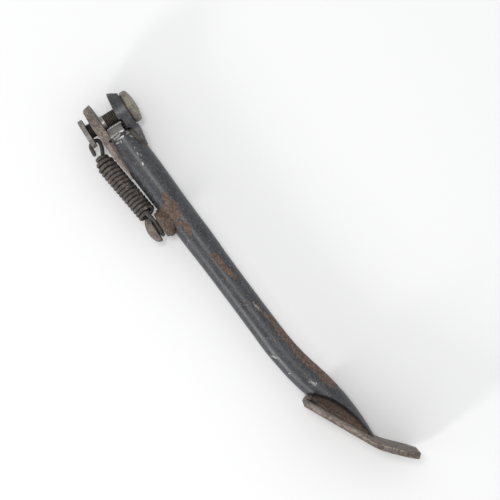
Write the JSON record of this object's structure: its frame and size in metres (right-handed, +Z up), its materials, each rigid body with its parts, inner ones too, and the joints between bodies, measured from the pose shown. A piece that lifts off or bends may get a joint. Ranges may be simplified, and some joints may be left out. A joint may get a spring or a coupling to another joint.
{
  "type": "motorcycle side stand",
  "caption": "Bent tubular side stand with a clevis and pivot bolt at its upper end, a return spring on a welded post, and a slanted foot plate.",
  "frame": {"origin": "on the pivot bolt's axis, midway between the two clevis ears", "axes": "+X down the leg to the foot, +Y along the pivot bolt towards its head, +Z up from the side that the stand lies on"},
  "size_m": [0.3141, 0.0825, 0.042],
  "materials": {
    "black_paint": "worn semi-gloss black paint with scratches and rust",
    "rusty_steel": "bare steel with brown rust",
    "worn_steel": "bare grey steel, worn and tarnished",
    "weld_metal": "rough rusty weld beads",
    "zinc_plate": "dull yellow zinc plate with rust spots",
    "spring_steel": "dark oily spring wire with light rust"
  },
  "bodies": {
    "leg": {"leg_tube": "black_paint", "ear_head_side": "black_paint", "ear_spring_side": "rusty_steel", "stop_block": "worn_steel", "block_weld": "black_paint", "ear_weld_head": "weld_metal", "ear_weld_spring": "weld_metal", "foot_plate": "rusty_steel", "foot_weld": "weld_metal", "spring_post": "rusty_steel", "post_collar": "rusty_steel", "post_weld": "weld_metal"},
    "pivot_hardware": {"pivot_bolt": "zinc_plate", "head_washer": "zinc_plate", "keeper_plate": "worn_steel"},
    "spring_lower": {"spring_coil": "spring_steel"},
    "spring_upper": {"spring_upper_hook": "spring_steel"}
  },
  "joints": [
    {"name": "stand_swing", "type": "hinge", "parent": "leg", "child": "pivot_hardware", "pos_m": [0, 0, 0], "axis": [0, -1, 0], "range_deg": [0, 95], "stiffness_Nm_per_rad": 1.1},
    {"name": "spring_sway", "type": "hinge", "parent": "leg", "child": "spring_lower", "pos_m": [0.078, -0.01035, 0], "axis": [0, 1, 0], "range_deg": [0, 5.4]},
    {"name": "spring_stretch", "type": "slide", "parent": "spring_lower", "child": "spring_upper", "axis": [-1, 0, 0], "range_m": [0, 0.0083], "deforming": ["spring_coil", "spring_upper_hook"]}
  ],
  "couplings": [
    {"joint": "spring_sway", "follows": "stand_swing", "ratio": 0.054489},
    {"joint": "spring_stretch", "follows": "stand_swing", "m_per_rad": 0.0048822}
  ]
}
